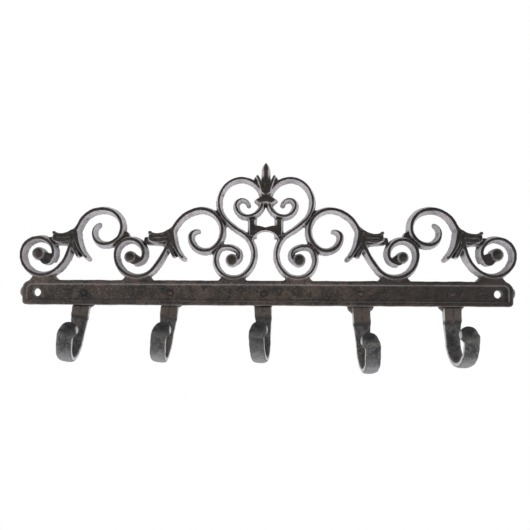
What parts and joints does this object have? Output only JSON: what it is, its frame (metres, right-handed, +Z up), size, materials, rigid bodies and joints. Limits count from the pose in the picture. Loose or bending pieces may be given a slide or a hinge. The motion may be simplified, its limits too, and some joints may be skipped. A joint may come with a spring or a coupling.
{
  "type": "coat hook rack",
  "caption": "Cast-iron wall coat rack: a raised-rim rail with a scrollwork crest and a leafy finial above it, and J hooks riveted behind it.",
  "frame": {"origin": "midway between the two screw holes, on the flat back of the rail", "axes": "+X along the rail to the right as seen from the front, +Z up, -Y out of the wall towards the user"},
  "size_m": [0.4302, 0.0495, 0.1813],
  "materials": {
    "casting_iron": "antique brown sand-cast iron, worn on the edges",
    "hook_iron": "dark slate sand-cast iron",
    "rivet_iron": "peened dark iron"
  },
  "bodies": {
    "root": {"rack_casting": "casting_iron", "hook_1": "hook_iron", "hook_2": "hook_iron", "hook_3": "hook_iron", "hook_4": "hook_iron", "hook_5": "hook_iron", "rivets": "rivet_iron"}
  },
  "joints": []
}
